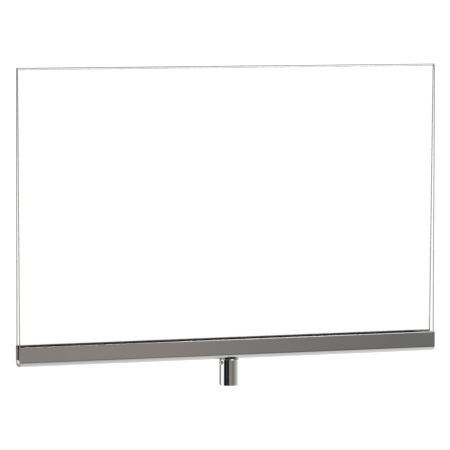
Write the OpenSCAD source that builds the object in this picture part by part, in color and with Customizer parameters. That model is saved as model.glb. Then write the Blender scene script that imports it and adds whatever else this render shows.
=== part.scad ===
// Counter sneeze guard: one folded clear sheet standing in a chromed channel,
// which swivels on a pin in a round fitting made to screw onto a post.
// Millimetres. +X runs along the channel, +Y points to the rear, +Z is up.
// The origin is the centre of the threaded hole's mouth under the fitting.

/* [Clear sheet] */
// Width of the sheet and of the channel
panel_w = 559; // [300:1:900]
// Height of the sheet that shows above the channel's lips
view_h = 352; // [150:1:500]
// Thickness of the sheet
sheet_t = 3; // [2:0.1:3.2]
// Inside radius of the fold along the top
fold_r = 1.6; // [1:0.1:2.5]
// Distance between the middles of the two legs where they enter the channel
leg_spread = 14.4; // [14:0.1:14.4]

/* [Channel] */
// Depth of the channel, front to rear
channel_w = 25.4; // [25:0.1:30]
// Height of the channel
channel_h = 25.4; // [22:0.1:40]
// Wall thickness of the channel
channel_t = 2; // [1.2:0.1:2]
// Outside radius of the two lower corners
channel_r = 7; // [6:0.5:7]
// Thickness of the vinyl liner
liner_t = 1.4; // [0.6:0.1:1.4]
// How far the liner stands above the lips
liner_stand = 0.4; // [0:0.1:1]
// Height of the setting blocks that carry the sheet
block_h = 4; // [2.6:0.1:4]
// Length of one setting block
block_l = 40; // [20:1:60]

/* [Fitting] */
// Outside diameter of the round fitting
fitting_d = 25.4; // [24:0.1:32]
// Height of the round fitting
fitting_h = 34.5; // [32:0.5:60]
// Depth of the threaded hole for the post's stud
thread_depth = 16; // [10:0.5:16]
// Diameter of the threaded hole at its wall
thread_d = 7.94; // [6:0.01:10]
// Room for the washer between the fitting and the channel
washer_space = 0.6; // [0.5:0.1:2.5]
// Diameter of the swivel washer
washer_d = 22; // [18:0.5:23]
// Diameter of the bore that takes the swivel pin
pin_bore_d = 12; // [11:0.1:13]
// Angle of the grub screw, forward from the channel's left end
grub_angle = 20; // [0:1:60]
// Diameter of the grub screw
grub_d = 4.9; // [3:0.1:5]

/* [Hidden] */
$fn = 96;

// Levels, from the post upwards
channel_z = fitting_h + washer_space;
lip_z = channel_z + channel_h;
top_z = lip_z + view_h;
floor_z = channel_z + channel_t;
block_z = floor_z + liner_t;
rest_z = block_z + block_h;

// The fold: both legs leave it on a slant that gives leg_spread at the lips
fold_mid = fold_r + sheet_t / 2;
fold_out = fold_r + sheet_t;
fold_z = top_z - fold_out;
fold_rise = fold_z - lip_z;
ridge_steps = 24;
leg_drop = fold_z - rest_z;
leg_slant = acos(fold_mid / norm([leg_spread / 2, fold_rise])) - atan2(fold_rise, leg_spread / 2);

// Swivel pin, its groove and the screws
fit_gap = 0.05;
pin_r = pin_bore_d / 2 - fit_gap;
pin_drop = 12.6;
pin_bore_depth = 13;
pin_edge = 0.8;
groove_r = pin_r - 1.05;
groove_h = 3.6;
grub_z = fitting_h - 4.8;
grub_l = 10;
grub_stand = 2.5;
dog_r = 1.5;
dog_l = 1.6;
grub_socket_af = 2.5;
grub_socket_depth = 3;
screw_d = 6;
screw_l = 12;
screw_head_d = 10.5;
screw_head_h = 3.3;
screw_socket_af = 4;
screw_socket_depth = 2;
lock_washer_t = 1.2;
lock_washer_d = 11;
lock_washer_gap = 1;
liner_hole_d = 14;
fitting_edge = 0.8;
edge = 0.4;
overrun = 1;

// Extrudes a front-to-rear outline, given as (Y, Z), along X about the middle
module along_x(length) {
    rotate([90, 0, 90])
        linear_extrude(length, center = true)
            children();
}

// Outline of a U-shaped trough with round lower corners, open at the top
module trough(width, height, radius) {
    translate([-width / 2, radius])
        square([width, height - radius]);
    translate([-width / 2 + radius, 0])
        square([width - 2 * radius, radius + 0.01]);
    for (side = [-1, 1])
        translate([side * (width / 2 - radius), radius])
            circle(radius);
}

// Washer or ring standing on z = 0
module ring(outer_d, inner_d, height) {
    difference() {
        cylinder(d = outer_d, h = height);
        translate([0, 0, -overrun])
            cylinder(d = inner_d, h = height + 2 * overrun);
    }
}

// Puts a piece drawn along +Z on the grub screw's axis, pointing out of the fitting
module on_grub_axis() {
    translate([0, 0, grub_z])
        rotate([0, 0, 180 + grub_angle])
            rotate([0, 90, 0])
                children();
}

// Points over the ridge, from the right leg's tangent point to the left leg's
function ridge(radius) =
    [for (step = [0 : ridge_steps])
        let (turn = leg_slant + (180 - 2 * leg_slant) * step / ridge_steps)
            radius * [cos(turn), sin(turn)]];

// Foot of the right leg's face that leaves the ridge at this radius
function foot(radius) = [radius / cos(leg_slant) + leg_drop * tan(leg_slant), -leg_drop];

function flip(points) = [for (point = points) [-point[0], point[1]]];

module clear_panel() {
    outside = concat([foot(fold_out)], ridge(fold_out), flip([foot(fold_out)]));
    inside = concat(flip([foot(fold_r)]), flip(ridge(fold_r)), [foot(fold_r)]);
    color([0.93, 0.95, 0.93, 0.3])
        along_x(panel_w)
            translate([0, fold_z])
                polygon(concat(outside, inside));
}

module channel() {
    inner_w = channel_w - 2 * channel_t;
    lip_r = channel_t / 2;
    color("silver")
        difference() {
            along_x(panel_w)
                translate([0, channel_z]) {
                    difference() {
                        trough(channel_w, channel_h - lip_r, channel_r);
                        translate([0, channel_t])
                            trough(inner_w, channel_h, channel_r - channel_t);
                    }
                    for (side = [-1, 1])
                        translate([side * (channel_w / 2 - lip_r), channel_h - lip_r])
                            circle(lip_r);
                }
            translate([0, 0, channel_z - overrun])
                cylinder(d = screw_d + 0.4, h = channel_t + 2 * overrun);
        }
}

module glazing_liner() {
    outer_w = channel_w - 2 * channel_t;
    outer_r = channel_r - channel_t;
    liner_h = channel_h - channel_t + liner_stand;
    color("black")
        difference() {
            along_x(panel_w)
                translate([0, floor_z])
                    difference() {
                        trough(outer_w, liner_h, outer_r);
                        translate([0, liner_t])
                            trough(outer_w - 2 * liner_t, channel_h, outer_r - liner_t);
                    }
            translate([0, 0, floor_z - overrun])
                cylinder(d = liner_hole_d, h = 2 * overrun + 2 * liner_t);
        }
}

// Two blocks flush with the channel's ends; their sides lean out to clear the round corners
module setting_blocks() {
    foot = channel_w / 2 - channel_r;
    shoulder = foot + 2.8;
    color("dimgray")
        for (side = [-1, 1])
            translate([side * (panel_w - block_l) / 2, 0, 0])
                along_x(block_l)
                    translate([0, block_z])
                        polygon([[-foot, 0], [foot, 0], [shoulder, block_h], [-shoulder, block_h]]);
}

// Button-head screw, driven from inside the channel down into the swivel pin
module fixing_screw() {
    head_z = floor_z + lock_washer_t;
    crown_r = screw_head_d / 2;
    dome = screw_head_h - edge;
    dome_r = (pow(crown_r, 2) + pow(dome, 2)) / (2 * dome);
    color("gainsboro")
        difference() {
            union() {
                translate([0, 0, head_z - screw_l])
                    cylinder(d = screw_d - 0.1, h = screw_l);
                translate([0, 0, head_z])
                    cylinder(r = crown_r, h = edge);
                translate([0, 0, head_z + edge])
                    intersection() {
                        cylinder(r = crown_r, h = dome);
                        translate([0, 0, dome - dome_r])
                            sphere(dome_r);
                    }
            }
            translate([0, 0, head_z + screw_head_h - screw_socket_depth])
                cylinder(d = screw_socket_af / cos(30), h = screw_head_h, $fn = 6);
        }
}

module lock_washer() {
    color("darkgray")
        translate([0, 0, floor_z])
            difference() {
                ring(lock_washer_d, screw_d + 0.3, lock_washer_t);
                translate([0, -lock_washer_gap / 2, -overrun])
                    cube([lock_washer_d, lock_washer_gap, lock_washer_t + 2 * overrun]);
            }
}

// Turned pin under the channel, with a groove that the grub screw's tip runs in
module swivel_pin() {
    foot_z = channel_z - pin_drop;
    groove_z = grub_z - groove_h / 2;
    screw_hole_depth = 10;
    color("lightgray")
        difference() {
            translate([0, 0, foot_z])
                rotate_extrude()
                    polygon([[0, 0], [pin_r - pin_edge, 0], [pin_r, pin_edge],
                             [pin_r, pin_drop], [0, pin_drop]]);
            translate([0, 0, groove_z])
                ring(pin_bore_d + 2, 2 * groove_r, groove_h);
            translate([0, 0, channel_z - screw_hole_depth])
                cylinder(d = screw_d, h = screw_hole_depth + overrun);
        }
}

module swivel_washer() {
    color("black")
        translate([0, 0, fitting_h + 0.1])
            ring(washer_d, 2 * pin_r, washer_space - 0.1);
}

module fitting() {
    body_r = fitting_d / 2;
    color("silver")
        difference() {
            rotate_extrude()
                polygon([[0, 0], [body_r - edge, 0], [body_r, edge],
                         [body_r, fitting_h - fitting_edge],
                         [body_r - fitting_edge, fitting_h], [0, fitting_h]]);
            translate([0, 0, -overrun])
                cylinder(d = thread_d, h = thread_depth + overrun);
            translate([0, 0, fitting_h - pin_bore_depth])
                cylinder(d = pin_bore_d, h = pin_bore_depth + overrun);
            on_grub_axis()
                translate([0, 0, pin_bore_d / 2 - overrun])
                    cylinder(d = grub_d + 0.1, h = fitting_d / 2);
        }
}

// Socket set screw with a dog point, standing a little proud of the fitting
module grub_screw() {
    outer_end = fitting_d / 2 + grub_stand;
    body_r = grub_d / 2;
    color("gray")
        on_grub_axis()
            translate([0, 0, outer_end - grub_l])
                difference() {
                    rotate_extrude()
                        polygon([[0, 0], [dog_r, 0], [dog_r, dog_l], [body_r - edge, dog_l],
                                 [body_r, dog_l + edge], [body_r, grub_l - edge],
                                 [body_r - edge, grub_l], [0, grub_l]]);
                    translate([0, 0, grub_l - grub_socket_depth])
                        cylinder(d = grub_socket_af / cos(30), h = grub_socket_depth + overrun,
                                 $fn = 6);
                }
}

clear_panel();
channel();
glazing_liner();
setting_blocks();
fixing_screw();
lock_washer();
swivel_pin();
swivel_washer();
fitting();
grub_screw();
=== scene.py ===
"""Looks for the counter sneeze guard: materials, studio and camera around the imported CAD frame.

Lengths are metres, in the CAD frame. Azimuths are degrees from the front (-Y) towards +X.
"""
import math

import bpy
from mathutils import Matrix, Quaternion, Vector


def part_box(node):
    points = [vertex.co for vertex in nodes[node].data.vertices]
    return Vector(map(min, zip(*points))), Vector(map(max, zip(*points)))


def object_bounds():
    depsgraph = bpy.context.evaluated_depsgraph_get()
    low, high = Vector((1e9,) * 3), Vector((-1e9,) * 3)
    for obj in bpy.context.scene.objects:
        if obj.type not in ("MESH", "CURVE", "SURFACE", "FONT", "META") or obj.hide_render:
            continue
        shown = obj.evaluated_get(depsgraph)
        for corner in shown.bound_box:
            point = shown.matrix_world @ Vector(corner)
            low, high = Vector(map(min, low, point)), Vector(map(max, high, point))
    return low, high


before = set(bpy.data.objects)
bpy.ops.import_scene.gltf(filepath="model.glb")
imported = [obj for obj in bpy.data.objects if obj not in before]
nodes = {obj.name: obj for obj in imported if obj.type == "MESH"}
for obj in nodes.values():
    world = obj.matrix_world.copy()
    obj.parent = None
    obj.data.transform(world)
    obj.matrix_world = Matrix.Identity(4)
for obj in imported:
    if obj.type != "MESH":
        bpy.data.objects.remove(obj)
cad_low, cad_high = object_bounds()

# The sheet's right end and the liner's top
HALF_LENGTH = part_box("clear_panel")[1][0]
LINER_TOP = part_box("glazing_liner")[1][2]

# Camera
CAMERA_AZIMUTH = -17.26
CAMERA_ELEVATION = 5.55
CAMERA_ROLL = 0.14
CAMERA_DISTANCE = 3.7357
CAMERA_LENS_MM = 232.35
SENSOR_MM = 36.0
AIM_OFFSET = Vector((-0.0061, 0.0, 0.00143))

# Studio. The floor is low enough to stay behind a viewpoint below the object
WORLD_GLOW = 1.16
FLOOR_DROP = 3.2
FLOOR_SIZE = 60.0

# The cards that only mirrors see: a round wall, whose top, fade and bottom are elevations
WALL_RADIUS = 2.0
CARD_TOP = 25.0
CARD_FADE = -10.0
CARD_BOTTOM = -34.0
CARD_BOTTOM_SHADE = 0.5
CARD_STEP = 2.0
# The brightest that the floor and the ceiling get
LEVEL_MOST = 1.15
# What a warmth of 1 adds to red and takes from blue
WARM_RED = 0.13
WARM_BLUE = 0.07

# The floor in the mirror: its level below the object, and what a metre adds
FLOOR_CELLS = 16
FLOOR_LEVEL = 0.98
FLOOR_LEAST = 0.7
FLOOR_RISE_RIGHT = 0.12
FLOOR_RISE_REAR = 0.14

# The ceiling in the mirror: its level on the lane through the middle, and what a metre adds.
# A lane is the curve of ceiling that one spot on the channel's lip mirrors to the camera
CEILING_CELLS = 80
CEILING_LEVEL = 0.95
CEILING_LEAST = 0.2
CEILING_RISE = 3.0
LANE_SLOPE = 0.31
# The lamp panel on the ceiling: a slanted strip between two x, about y = start + slope * x
PANEL_LEVEL = 2.4
PANEL_LEFT = 0.2
PANEL_RIGHT = 0.8
PANEL_START = -0.25
PANEL_SLOPE = 0.58
PANEL_HALF_DEPTH = 0.09

# Chrome, where its smears are thin and thick
CHROME_LIGHT = (0.575, 0.575, 0.570)
CHROME_DARK = (0.540, 0.540, 0.537)

# The sheet, the hazing of its sawn ends, and the painted shade that darkens the crest of its
# fold: how wide the hazing is beside the ends, how strong it is there, how strong the painted
# shade is on the crest, and how far up a face must look to be crest
CLEAR = (0.99, 0.992, 0.986)
# Grey-green of the sawn ends' hazing, also used as painted shade on the fold's crest
HAZE_AND_CREST_SHADE = (0.088, 0.090, 0.078)
ARRIS = 0.0010
ARRIS_HAZE = 0.75
CREST_PAINTED_SHADE = 0.95
CREST_START = 0.66
CREST_FULL = 0.78

# Painted shade: a black band along the grey liner's top, standing for the dark inside of the
# channel above its lip: its height, how far short of the right end it stops, and how soft its
# lower edge and its end are
SHADE_BAND = 0.004
SHADE_BAND_GAP = 0.022
SHADE_BAND_EDGE = 0.0005
SHADE_BAND_FADE = 0.002

# How noise is stretched into drawing lines along X and turning lines around Z
ALONG_X = (5.0, 2500.0, 2500.0)
ROUND_Z = (5.0, 5.0, 4000.0)


def around(azimuth, elevation, distance):
    """The point at this azimuth and elevation, seen from the origin."""
    a, e = math.radians(azimuth), math.radians(elevation)
    return distance * Vector((math.sin(a) * math.cos(e), -math.cos(a) * math.cos(e), math.sin(e)))


# ---------------------------------------------------------------- node helpers

class Graph:
    """One material's node tree, with a line for each kind of step."""

    def __init__(self, name):
        self.material = bpy.data.materials.new(name)
        self.material.use_nodes = True
        self.tree = self.material.node_tree
        self.tree.nodes.clear()
        self.output = self.add("ShaderNodeOutputMaterial")

    def add(self, kind, **settings):
        node = self.tree.nodes.new(kind)
        for key, value in settings.items():
            setattr(node, key, value)
        return node

    def link(self, source, target):
        self.tree.links.new(source, target)

    def principled(self, **values):
        shader = self.add("ShaderNodeBsdfPrincipled")
        for key, value in values.items():
            shader.inputs[key.replace("_", " ")].default_value = value
        self.link(shader.outputs["BSDF"], self.output.inputs["Surface"])
        return shader

    def coordinates(self):
        """Object coordinates: metres in the CAD frame, which move with the piece."""
        return self.add("ShaderNodeTexCoord").outputs["Object"]

    def stretched(self, stretch):
        scaled = self.add("ShaderNodeMapping")
        scaled.inputs["Scale"].default_value = stretch
        self.link(self.coordinates(), scaled.inputs["Vector"])
        return scaled.outputs["Vector"]

    def noise(self, place, scale, detail=3.0, roughness=0.5):
        cloud = self.add("ShaderNodeTexNoise")
        cloud.inputs["Scale"].default_value = scale
        cloud.inputs["Detail"].default_value = detail
        cloud.inputs["Roughness"].default_value = roughness
        self.link(place, cloud.inputs["Vector"])
        return cloud.outputs["Fac"]

    def maths(self, operation, *values):
        step = self.add("ShaderNodeMath", operation=operation)
        for socket, value in zip(step.inputs, values):
            if isinstance(value, (int, float)):
                socket.default_value = value
            else:
                self.link(value, socket)
        return step.outputs["Value"]

    def remap(self, value, low, high, to_low, to_high):
        spread = self.add("ShaderNodeMapRange")
        sockets = ("From Min", "From Max", "To Min", "To Max")
        for key, number in zip(sockets, (low, high, to_low, to_high)):
            spread.inputs[key].default_value = number
        self.link(value, spread.inputs["Value"])
        return spread.outputs["Result"]

    def parts(self, vector):
        split = self.add("ShaderNodeSeparateXYZ")
        self.link(vector, split.inputs["Vector"])
        return split.outputs

    def blend(self, factor, first, second):
        mix = self.add("ShaderNodeMix", data_type="RGBA")
        self.link(factor, mix.inputs["Factor"])
        for socket, colour in zip((mix.inputs[6], mix.inputs[7]), (first, second)):
            if isinstance(colour, tuple):
                socket.default_value = (*colour, 1.0)
            else:
                self.link(colour, socket)
        return mix.outputs[2]

    def bump(self, height, strength, distance):
        relief = self.add("ShaderNodeBump")
        relief.inputs["Strength"].default_value = strength
        relief.inputs["Distance"].default_value = distance
        self.link(height, relief.inputs["Height"])
        return relief.outputs["Normal"]


# ------------------------------------------------------------------- materials

def chrome(name, lines):
    """Bright plate: a mirror with faint smears, and polishing lines as finely spaced as lines says."""
    g = Graph(name)
    shader = g.principled(Metallic=1.0)
    smears = g.noise(g.coordinates(), 38.0, detail=5.0, roughness=0.6)
    polish = g.noise(g.stretched(lines), 1.0, detail=2.0)
    smeared = g.remap(smears, 0.35, 0.75, 0.012, 0.03)
    polished = g.remap(polish, 0.3, 0.7, 0.0, 0.012)
    g.link(g.maths("ADD", smeared, polished), shader.inputs["Roughness"])
    g.link(g.blend(smears, CHROME_LIGHT, CHROME_DARK), shader.inputs["Base Color"])
    g.link(g.bump(polish, 0.04, 0.00001), shader.inputs["Normal"])
    return g.material


def clear_acrylic(name, half_length):
    """Clear sheet whose sawn ends are hazed and grey-green, and the crest of whose fold has the same
    grey-green as painted shade.
    """
    g = Graph(name)
    shader = g.principled(IOR=1.49)
    facing = g.parts(g.add("ShaderNodeTexCoord").outputs["Normal"])
    along = g.maths("ABSOLUTE", g.parts(g.coordinates())["X"])
    sawn = g.remap(g.maths("ABSOLUTE", facing["X"]), 0.5, 0.9, 0.0, 1.0)
    arris = g.remap(along, half_length - ARRIS, half_length - 0.5 * ARRIS, 0.0, ARRIS_HAZE)
    # Painted shade: faces that look up along the fold's crest turn grey-green and dull, darkening the
    # sheet's top line
    crest = g.remap(facing["Z"], CREST_START, CREST_FULL, 0.0, CREST_PAINTED_SHADE)
    scratches = g.noise(g.stretched((20.0, 400.0, 400.0)), 1.0, detail=3.0)
    # Hazing of the sawn ends together with the painted shade on the crest
    haze_and_shade = g.maths("MAXIMUM", g.maths("MAXIMUM", sawn, arris), crest)
    haze_and_shade = g.maths("MULTIPLY", haze_and_shade, g.remap(scratches, 0.2, 0.8, 0.95, 1.0))
    g.link(g.remap(haze_and_shade, 0.0, 1.0, 1.0, 0.05), shader.inputs["Transmission Weight"])
    g.link(g.blend(haze_and_shade, CLEAR, HAZE_AND_CREST_SHADE), shader.inputs["Base Color"])
    g.link(g.remap(haze_and_shade, 0.0, 1.0, 0.0, 0.45), shader.inputs["Roughness"])
    return g.material


def rubber(name, dark, light, grain_scale, gloss, lower=None):
    """Matt rubber. Where lower is given, it is the colour of everything but a black band of painted
    shade along the liner's top.
    """
    g = Graph(name)
    shader = g.principled(Specular_IOR_Level=gloss)
    grain = g.noise(g.coordinates(), grain_scale, detail=4.0)
    streaks = g.noise(g.stretched((6.0, 700.0, 700.0)), 1.0, detail=3.0)
    colour = g.blend(grain, dark, light)
    if lower:
        place = g.parts(g.coordinates())
        # A black band of painted shade along the top, ending short of the right end
        foot = LINER_TOP - SHADE_BAND
        stop = HALF_LENGTH - SHADE_BAND_GAP
        above = g.remap(place["Z"], foot - SHADE_BAND_EDGE, foot, 0.0, 1.0)
        before = g.remap(place["X"], stop, stop + SHADE_BAND_FADE, 1.0, 0.0)
        colour = g.blend(g.maths("MULTIPLY", above, before), lower, colour)
    g.link(colour, shader.inputs["Base Color"])
    g.link(g.remap(streaks, 0.3, 0.7, 0.6, 0.85), shader.inputs["Roughness"])
    g.link(g.bump(grain, 0.25, 0.0001), shader.inputs["Normal"])
    return g.material


def steel(name, colour, lines, shine):
    """Bare or thinly plated steel with its turning or drawing lines."""
    g = Graph(name)
    shader = g.principled(Metallic=1.0)
    tooling = g.noise(g.stretched(lines), 1.0, detail=3.0)
    stain = g.noise(g.coordinates(), 260.0, detail=4.0)
    darker = tuple(0.8 * c for c in colour)
    g.link(g.blend(g.remap(stain, 0.35, 0.75, 0.0, 1.0), colour, darker), shader.inputs["Base Color"])
    g.link(g.remap(tooling, 0.3, 0.7, shine, shine + 0.14), shader.inputs["Roughness"])
    g.link(g.bump(tooling, 0.15, 0.00003), shader.inputs["Normal"])
    return g.material


FINISHES = {
    "clear_panel": clear_acrylic("clear_acrylic", HALF_LENGTH),
    "channel": chrome("chrome_plate_drawn", ALONG_X),
    "fitting": chrome("chrome_plate_turned", ROUND_Z),
    # Grey liner with a black band of painted shade along its top
    "glazing_liner": rubber("black_vinyl", (0.006, 0.006, 0.006), (0.014, 0.014, 0.014),
                            1500.0, 0.1, lower=(0.26, 0.26, 0.25)),
    "setting_blocks": rubber("white_silicone", (0.56, 0.56, 0.54), (0.64, 0.64, 0.62), 700.0, 0.5),
    "swivel_washer": steel("washer_steel", (0.58, 0.58, 0.57), ROUND_Z, 0.10),
    "fixing_screw": steel("zinc_steel", (0.62, 0.63, 0.64), ROUND_Z, 0.20),
    "lock_washer": steel("spring_steel", (0.35, 0.35, 0.36), ALONG_X, 0.28),
    "swivel_pin": steel("turned_steel", (0.55, 0.55, 0.55), ROUND_Z, 0.18),
    "grub_screw": steel("nickel_steel", (0.86, 0.85, 0.83), (900.0, 900.0, 900.0), 0.32),
}

for node_name, finish in FINISHES.items():
    for slot in nodes[node_name].material_slots:
        slot.material = finish


# ---------------------------------------------------------------------- studio

def glow_material():
    """Light whose colour the mesh's own points hold."""
    g = Graph("card_glow")
    light = g.add("ShaderNodeEmission")
    colour = g.add("ShaderNodeVertexColor", layer_name="glow")
    g.link(colour.outputs["Color"], light.inputs["Color"])
    g.link(light.outputs["Emission"], g.output.inputs["Surface"])
    return g.material


GLOW = glow_material()


def glow_card(name, rows, colour_at):
    """A card from rows of points, which only mirrors see. colour_at gives a point's colour."""
    width = len(rows[0])
    points = [point for row in rows for point in row]
    faces = []
    for row in range(len(rows) - 1):
        for column in range(width - 1):
            first = row * width + column
            faces.append((first, first + 1, first + width + 1, first + width))
    mesh = bpy.data.meshes.new(name)
    mesh.from_pydata([tuple(point) for point in points], [], faces)
    layer = mesh.color_attributes.new("glow", "FLOAT_COLOR", "POINT")
    for index, point in enumerate(points):
        layer.data[index].color = (*colour_at(index % width, point), 1.0)
    mesh.materials.append(GLOW)
    card = bpy.data.objects.new(name, mesh)
    card.visible_camera = False
    card.visible_diffuse = False
    card.visible_transmission = False
    card.visible_shadow = False
    bpy.context.scene.collection.objects.link(card)


def card_height(elevation):
    """How high the wall is at this elevation."""
    return WALL_RADIUS * math.tan(math.radians(elevation))


def level_between(stops, azimuth):
    """Brightness and warmth at this azimuth, in straight lines between the stops."""
    for (left, *first), (right, *second) in zip(stops, stops[1:]):
        if left <= azimuth <= right:
            share = (azimuth - left) / (right - left)
            return [a + (b - a) * share for a, b in zip(first, second)]
    raise ValueError(f"azimuth {azimuth} is outside the card")


def wall_card(name, *stops):
    """A piece of the round studio wall. Each stop is (azimuth, brightness, warmth)."""
    start, end = stops[0][0], stops[-1][0]
    count = max(2, round((end - start) / CARD_STEP))
    azimuths = [start + (end - start) * step / count for step in range(count + 1)]
    rows = []
    for elevation in (CARD_BOTTOM, CARD_FADE, CARD_TOP):
        lift = Vector((0, 0, card_height(elevation)))
        rows.append([around(azimuth, 0.0, WALL_RADIUS) + lift for azimuth in azimuths])
    bottom = rows[0][0].z

    def colour_at(column, point):
        level, warmth = level_between(stops, azimuths[column])
        level *= CARD_BOTTOM_SHADE if point.z <= bottom else 1.0
        return level * (1.0 + WARM_RED * warmth), level, level * (1.0 - WARM_BLUE * warmth)

    glow_card(name, rows, colour_at)


wall_card("black_flag", (-80.5, 0.0, 0), (-60, 0.0, 0), (-51, 0.075, 0), (-40, 0.05, 0),
          (-27, 0.0, 0), (-18, 0.0, 0))
wall_card("grey_wall", (-17.4, 0.345, 0), (-4, 0.40, 0.1), (4, 0.38, 0.3), (7, 0.375, 0.9),
          (10, 0.38, 1), (14, 0.373, 1), (15.5, 0.354, 0.9), (17, 0.343, 0.25),
          (19, 0.328, 0.25), (21, 0.312, 0.3), (23.5, 0.286, 0.3), (25.5, 0.27, 0.25),
          (28, 0.253, 0.1), (33, 0.265, 0), (46, 0.43, 0), (60, 0.565, 0), (76, 0.79, 0),
          (95, 1.17, 0), (120, 1.6, 0), (140, 1.6, 0))
wall_card("rear_wall", (150, 0.7, 0), (170, 0.42, 0), (195, 0.36, 0), (214, 0.39, 0), (235, 0.55, 0))
wall_card("left_softbox", (-123, 1.8, 0), (-105, 1.8, 0), (-92, 1.55, 0), (-81, 1.5, 0))


def level_card(name, elevation, cells, level_at):
    """A flat square card at the wall's height there. level_at gives a point's brightness."""
    height = card_height(elevation)
    steps = [WALL_RADIUS * (2 * step / cells - 1) for step in range(cells + 1)]
    rows = [[Vector((x, y, height)) for x in steps] for y in steps]
    glow_card(name, rows, lambda _, point: (level_at(point),) * 3)


def floor_level(point):
    """The lit floor as the chrome sees it: brighter to the object's right and rear."""
    level = FLOOR_LEVEL + FLOOR_RISE_RIGHT * point.x + FLOOR_RISE_REAR * point.y
    return min(LEVEL_MOST, max(FLOOR_LEAST, level))


def ceiling_level(point):
    """The ceiling as the channel's lip sees it: brighter to the right, with one lamp panel."""
    from_middle = abs(point.y - PANEL_SLOPE * point.x - PANEL_START)
    if PANEL_LEFT < point.x < PANEL_RIGHT and from_middle < PANEL_HALF_DEPTH:
        return PANEL_LEVEL
    lane = point.x - LANE_SLOPE * math.hypot(card_height(CARD_TOP), point.y)
    return min(LEVEL_MOST, max(CEILING_LEAST, CEILING_LEVEL + CEILING_RISE * lane))


level_card("floor_card", CARD_BOTTOM, FLOOR_CELLS, floor_level)
level_card("ceiling_card", CARD_TOP, CEILING_CELLS, ceiling_level)


def pale_floor():
    g = Graph("pale_floor")
    shader = g.principled(Roughness=0.7)
    mottle = g.noise(g.coordinates(), 3.0)
    g.link(g.blend(mottle, (0.93, 0.93, 0.93), (0.95, 0.95, 0.95)), shader.inputs["Base Color"])
    half = FLOOR_SIZE / 2
    corners = [(-half, -half), (half, -half), (half, half), (-half, half)]
    mesh = bpy.data.meshes.new("floor")
    mesh.from_pydata([(x, y, -FLOOR_DROP) for x, y in corners], [], [(0, 1, 2, 3)])
    mesh.materials.append(g.material)
    floor = bpy.data.objects.new("floor", mesh)
    bpy.context.scene.collection.objects.link(floor)


pale_floor()


def soft_light(name, spot, size, power):
    light = bpy.data.lights.new(name, "AREA")
    light.shape = "DISK"
    light.size = size
    light.energy = power
    lamp = bpy.data.objects.new(name, light)
    lamp.location = spot
    lamp.rotation_mode = "QUATERNION"
    lamp.rotation_quaternion = (-spot).to_track_quat("-Z", "Y")
    lamp.visible_glossy = False
    bpy.context.scene.collection.objects.link(lamp)


soft_light("overhead", Vector((0.3, 0.4, 3.0)), size=2.5, power=60.0)


def white_world():
    world = bpy.data.worlds.new("studio")
    world.use_nodes = True
    background = world.node_tree.nodes["Background"]
    background.inputs["Color"].default_value = (1.0, 1.0, 1.0, 1.0)
    background.inputs["Strength"].default_value = WORLD_GLOW
    bpy.context.scene.world = world


white_world()
bpy.context.scene.view_settings.view_transform = "Standard"


# ---------------------------------------------------------------------- camera

def place_camera():
    aim = (cad_low + cad_high) / 2 + AIM_OFFSET
    lens = bpy.data.cameras.new("camera")
    lens.lens = CAMERA_LENS_MM
    lens.sensor_width = SENSOR_MM
    lens.clip_end = 2 * FLOOR_SIZE
    back = around(CAMERA_AZIMUTH, CAMERA_ELEVATION, 1.0)
    camera = bpy.data.objects.new("camera", lens)
    camera.location = aim + CAMERA_DISTANCE * back
    camera.rotation_mode = "QUATERNION"
    roll = Quaternion((0, 0, 1), math.radians(CAMERA_ROLL))
    camera.rotation_quaternion = (-back).to_track_quat("-Z", "Y") @ roll
    bpy.context.scene.collection.objects.link(camera)
    bpy.context.scene.camera = camera


place_camera()
